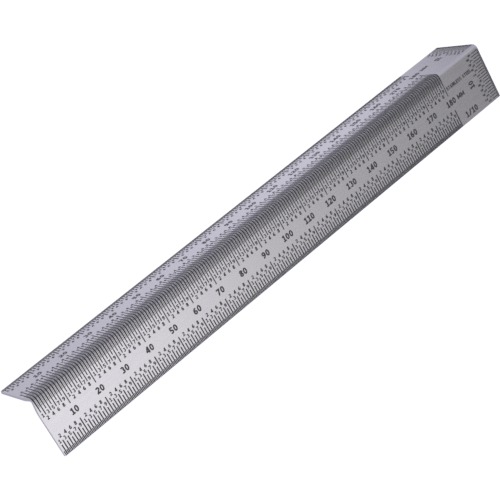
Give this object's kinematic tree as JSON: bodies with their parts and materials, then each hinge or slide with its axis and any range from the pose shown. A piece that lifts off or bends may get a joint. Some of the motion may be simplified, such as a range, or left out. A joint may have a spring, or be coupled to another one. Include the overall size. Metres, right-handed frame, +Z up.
{
  "type": "angle rule",
  "caption": "Steel rule folded lengthwise to a right angle, with millimetre scales on both outer faces that wrap over the fold, for marking out corners.",
  "frame": {"origin": "middle of the footprint, on the surface that the rule stands on like a tent", "axes": "+X along the rule from the zero end to the blank end, +Z up through the fold, -Y towards the side that the front leaf faces"},
  "size_m": [0.2, 0.0294, 0.0148],
  "materials": {
    "steel": "fine satin brushed along the length",
    "black_fill": "matt black enamel fill"
  },
  "bodies": {
    "root": {"folded_sheet": "steel", "back_bend_unit_numerals": "black_fill", "back_edge_half_lines": "black_fill", "back_edge_millimetre_lines": "black_fill", "back_edge_unit_numerals": "black_fill", "back_end_half_lines": "black_fill", "back_end_millimetre_lines": "black_fill", "back_end_numerals": "black_fill", "back_labels": "black_fill", "back_tens_numerals": "black_fill", "bend_half_lines": "black_fill", "bend_millimetre_lines": "black_fill", "front_bend_unit_numerals": "black_fill", "front_edge_half_lines": "black_fill", "front_edge_millimetre_lines": "black_fill", "front_edge_unit_numerals": "black_fill", "front_end_half_lines": "black_fill", "front_end_millimetre_lines": "black_fill", "front_end_numerals": "black_fill", "front_labels": "black_fill", "front_tens_numerals": "black_fill"}
  },
  "joints": []
}
